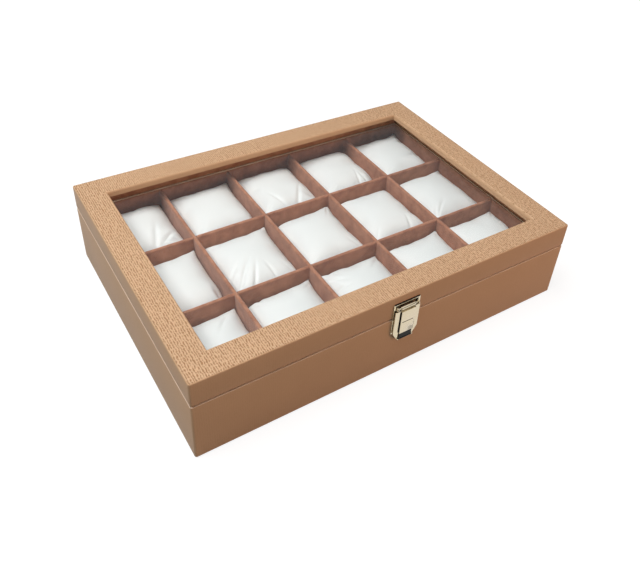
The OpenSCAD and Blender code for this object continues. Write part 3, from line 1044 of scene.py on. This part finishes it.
# Ears and tucks, in millimetres, of corners that stand out, by row and column, then by side
SHOWN_CORNERS = {
    ("back", 2): {(1, 1): (12, 0), (1, -1): (4, 6)},
    ("back", 4): {(1, -1): (2, 8), (-1, 1): (6, 2)},
    ("back", 5): {(1, 1): (13, 0), (1, -1): (6, 5), (-1, 1): (11, 1)},
    ("middle", 1): {(1, 1): (11, 0), (1, -1): (3, 7)},
    ("middle", 2): {(1, 1): (12, 0), (-1, -1): (2, 6)},
    ("middle", 3): {(1, 1): (12, 0), (-1, 1): (5, 4)},
    ("middle", 5): {(1, 1): (12, 1), (-1, 1): (9, 4)},
    ("front", 2): {(1, 1): (12, 0), (-1, 1): (6, 4)},
    ("front", 4): {(1, 1): (12, 0), (-1, 1): (5, 1)},
}


# Folds that stand out, by row and column. Each gives its place across and along the pillow, as
# shares of the half, its turn in degrees, its half length, half width and depth in millimetres.
SHOWN_FOLDS = {
    ("back", 1): [(0.2, -0.5, 70, 13, 2.2, 1.4), (0.55, -0.55, 40, 10, 1.8, 1.1),
                  (0.75, -0.7, -20, 5, 2.2, 1.6)],
    ("back", 2): [(0.88, -0.72, 60, 7, 2.4, 2.4), (0.1, -0.9, 80, 5, 1.6, 1.0),
                  (-0.4, 0.9, 100, 6, 1.8, 0.9)],
    ("back", 3): [(0.3, -0.6, 60, 14, 2, 1.3), (0.8, -0.6, -35, 7, 2.6, 1.9),
                  (-0.3, -0.55, 110, 11, 1.8, 0.9), (0.7, 0.8, 30, 6, 1.8, 1.2)],
    ("back", 4): [(0.3, -0.66, 78, 10, 1.5, 1.0), (0.52, -0.7, 105, 9, 1.5, 1.1),
                  (0.05, -0.86, 60, 4, 1.8, 1.6)],
    ("back", 5): [(0.7, -0.3, 15, 10, 2, 1.3), (0.75, 0, -10, 9, 1.8, 1.2), (0.8, 0.45, 25, 8, 2, 1.4),
                  (0.85, -0.75, 50, 6, 2.4, 2.0), (-0.6, 0.8, 100, 7, 2, 1.2)],
    ("middle", 1): [(0.8, -0.66, 100, 6, 3, 3.0), (0.9, -0.86, 20, 6, 1.6, 1.2)],
    ("middle", 2): [(-0.55, -0.5, 50, 13, 1.8, 1.2), (-0.3, -0.66, 62, 12, 1.6, 1.3),
                    (-0.72, -0.3, 38, 10, 1.6, 1.0), (0.2, -0.7, 100, 9, 1.6, 0.9),
                    (0.92, -0.5, 85, 8, 2, 1.8)],
    ("middle", 3): [(-0.85, 0.82, 60, 5, 2, 1.6), (0.1, -0.9, 95, 6, 1.4, 1.3)],
    ("middle", 4): [(0.35, -0.75, 75, 9, 1.6, 0.8), (-0.6, 0.7, 130, 8, 1.8, 0.8)],
    ("middle", 5): [(-0.85, 0.75, 70, 6, 2.2, 1.8), (0.2, 0.92, 90, 4, 1.6, 0.9),
                    (-0.5, -0.6, 40, 9, 1.6, 0.7)],
    ("front", 1): [(0.4, 0.5, 50, 11, 1.8, 1.0), (-0.5, 0.6, 120, 10, 1.8, 0.9)],
    ("front", 2): [(-0.55, 0.9, 80, 5, 2, 1.2), (-0.1, 0.94, 95, 4, 2.2, 0.8)],
    ("front", 3): [(-0.7, 0.55, 140, 9, 1.8, 1.4), (-0.75, 0.25, 165, 9, 1.6, 1.2),
                   (-0.6, 0.8, 110, 7, 1.8, 1.3), (0.6, 0.6, 40, 9, 1.8, 0.9)],
    ("front", 4): [(-0.5, 0.9, 95, 4, 2, 0.8)],
    ("front", 5): [(-0.5, 0.4, 30, 10, 1.8, 0.8)],
}


class DISPLAYBOX_OT_pillows(Operator):
    """Sew, fill and settle the fifteen satin pillows in their compartments"""

    bl_idname = "display_box.pillows"
    bl_label = "Pillows"

    def execute(self, context):
        settings = context.scene.display_box.pillows
        cloth = satin(settings)
        half = CELL / 2 - Vector((settings.play, settings.play)) - Vector((0.6, 0.6)) * MM
        bags = {}
        folds = {}
        for row in ROWS:
            for column in COLUMNS:
                look = pillow_look(row, column)
                folds[row, column] = look["folds"]
                bag = pillow_bag(f"satin_pillow_{row}_{column}", look, half)
                bags[row, column] = bag
                add_cloth(bag, look, settings)
        stops = compartment(CELL / 2 - Vector((settings.play, settings.play)), 60 * MM)
        settle(list(bags.values()), settings.steps)
        for stop in stops:
            bpy.data.objects.remove(stop)
        for (row, column), bag in bags.items():
            centre = Vector(((column - 3) * PITCH_X, (ROWS.index(row) - 1) * PITCH_Y))
            place_in_compartment(bag, centre, settings.play)
            apply_modifier(bag, "SUBSURF", levels=1, render_levels=1)
            crease(bag, centre, folds[row, column])
            select_only(bag)
            bpy.ops.object.shade_smooth()
            fit_piece(bag, f"pillow_{row}_{column}", cloth)
        return {"FINISHED"}


# Studio

def add_camera(settings):
    """The camera in front, to the left and above, looking down on the box."""
    data = bpy.data.cameras.new("camera")
    data.sensor_width = 36
    data.lens = settings.lens
    data.shift_x = -0.0519
    data.shift_y = -0.1081
    camera = bpy.data.objects.new("camera", data)
    bpy.context.scene.collection.objects.link(camera)
    turn = (
        Matrix.Rotation(settings.azimuth, 4, "Z")
        @ Matrix.Rotation(math.pi / 2 - settings.elevation, 4, "X")
        @ Matrix.Rotation(settings.roll, 4, "Z")
    )
    camera.matrix_world = Matrix.Translation((-0.26987, -0.41254, 0.44011)) @ turn
    bpy.context.scene.camera = camera


def add_lamp(name, place, aim, size, power, colour, mirrored=True):
    """A square area lamp that points at a place, and shows in mirror images or not."""
    data = bpy.data.lights.new(name, "AREA")
    data.size = size
    data.energy = power
    data.color = linear(colour)
    lamp = bpy.data.objects.new(name, data)
    bpy.context.scene.collection.objects.link(lamp)
    lamp.location = place
    lamp.rotation_euler = (Vector(aim) - Vector(place)).to_track_quat("-Z", "Y").to_euler()
    lamp.visible_glossy = mirrored


def seen_directly(tree):
    """One for rays from the camera, off a mirror or through glass, and zero for lighting rays."""
    path = add_node(tree, "ShaderNodeLightPath")
    first = add_node(
        tree, "ShaderNodeMath",
        {0: path.outputs["Is Camera Ray"], 1: path.outputs["Is Glossy Ray"]}, operation="MAXIMUM",
    )
    return maths(tree, "MAXIMUM", first.outputs[0], path.outputs["Is Transmission Ray"])


def add_world(ambient):
    """White where it is seen, darker low down in mirror images, and a faint light elsewhere."""
    world = bpy.data.worlds.new("studio")
    world.use_nodes = True
    tree = world.node_tree
    tree.nodes.clear()
    path = add_node(tree, "ShaderNodeLightPath").outputs
    direction = add_node(tree, "ShaderNodeTexCoord").outputs["Generated"]
    level = add_node(tree, "ShaderNodeSeparateXYZ", {0: direction}).outputs["Z"]
    studio = ranged(tree, level, (0.35, 0.72), (0.15, 1))
    unseen = ranged(tree, path["Is Glossy Ray"], (0, 1), (ambient, studio))
    direct = maths(tree, "MAXIMUM", path["Is Camera Ray"], path["Is Transmission Ray"])
    strength = ranged(tree, direct, (0, 1), (unseen, 1))
    sky = add_node(tree, "ShaderNodeBackground", {"Color": (1, 1, 1, 1), "Strength": strength})
    add_node(tree, "ShaderNodeOutputWorld", {"Surface": sky.outputs[0]})
    bpy.context.scene.world = world


def add_floor():
    """A white floor that keeps a soft shadow and throws little light back."""
    deselect_all()
    bpy.ops.mesh.primitive_plane_add(size=12, location=(0, 0, -0.0002))
    floor = bpy.context.object
    floor.name = "studio_floor"
    material, tree = new_material("studio_floor_white")
    # Beyond the lamps' reach the glow alone keeps the floor white
    place = add_node(tree, "ShaderNodeTexCoord").outputs["Object"]
    away = add_node(tree, "ShaderNodeVectorMath", {0: place}, operation="LENGTH").outputs["Value"]
    strength = ranged(tree, away, (0.4, 1), (0.86, 1))
    glow = add_node(tree, "ShaderNodeEmission", {"Color": (1, 1, 1, 1), "Strength": strength})
    pale = add_node(tree, "ShaderNodeBsdfDiffuse", {"Color": (0.22, 0.22, 0.22, 1)})
    seen = add_node(tree, "ShaderNodeAddShader", {0: glow.outputs[0], 1: pale.outputs[0]})
    lit = add_node(tree, "ShaderNodeBsdfDiffuse", {"Color": (0.35, 0.35, 0.35, 1)})
    shader = add_node(
        tree, "ShaderNodeMixShader",
        {0: seen_directly(tree), 1: lit.outputs[0], 2: seen.outputs[0]},
    )
    shown(tree, shader)
    set_material(floor, material)


class DISPLAYBOX_OT_studio(Operator):
    """Set up the camera, floor, lamps and surroundings"""

    bl_idname = "display_box.studio"
    bl_label = "Studio"

    def execute(self, context):
        settings = context.scene.display_box.studio
        add_camera(settings)
        add_world(settings.ambient)
        add_floor()
        add_lamp("key", (-0.5, 0.08, 1.35), (0, 0, 0.05), 1.0, 22.3, "#FFFFFF")
        add_lamp("warm_fill", (0.95, -1.1, 0.42), (0, 0, 0.04), 0.7, 8, "#FFCEAF", False)
        context.scene.view_settings.view_transform = "Standard"
        return {"FINISHED"}


class DISPLAYBOX_PT_panel(Panel):
    """Makes the pieces of the display box one by one"""

    bl_label = "Display box"
    bl_idname = "DISPLAYBOX_PT_panel"
    bl_space_type = "VIEW_3D"
    bl_region_type = "UI"
    bl_category = "Display box"

    def draw(self, context):
        for operator in OPERATORS:
            self.layout.operator(operator.bl_idname)
        settings = context.scene.display_box
        for group in ("covering", "lining", "pillows", "metal", "studio"):
            box = self.layout.box()
            box.label(text=group.title())
            for name in getattr(settings, group).bl_rna.properties.keys():
                if name not in ("rna_type", "name"):
                    box.prop(getattr(settings, group), name)


OPERATORS = (
    DISPLAYBOX_OT_studio,
    DISPLAYBOX_OT_boards,
    DISPLAYBOX_OT_base_covering,
    DISPLAYBOX_OT_lid_covering,
    DISPLAYBOX_OT_lining,
    DISPLAYBOX_OT_window,
    DISPLAYBOX_OT_latch,
    DISPLAYBOX_OT_hinges,
    DISPLAYBOX_OT_pillows,
)
CLASSES = (
    CoveringSettings,
    LiningSettings,
    PillowSettings,
    MetalSettings,
    StudioSettings,
    DisplayBoxSettings,
    *OPERATORS,
    DISPLAYBOX_PT_panel,
)


def register():
    for cls in CLASSES:
        bpy.utils.register_class(cls)
    bpy.types.Scene.display_box = PointerProperty(type=DisplayBoxSettings)


def unregister():
    del bpy.types.Scene.display_box
    for cls in reversed(CLASSES):
        bpy.utils.unregister_class(cls)


def main():
    """Makes every piece in turn."""
    register()
    bpy.ops.display_box.studio()
    bpy.ops.display_box.boards()
    bpy.ops.display_box.base_covering()
    bpy.ops.display_box.lid_covering()
    bpy.ops.display_box.lining()
    bpy.ops.display_box.window()
    bpy.ops.display_box.latch()
    bpy.ops.display_box.hinges()
    bpy.ops.display_box.pillows()


if __name__ == "__main__":
    main()
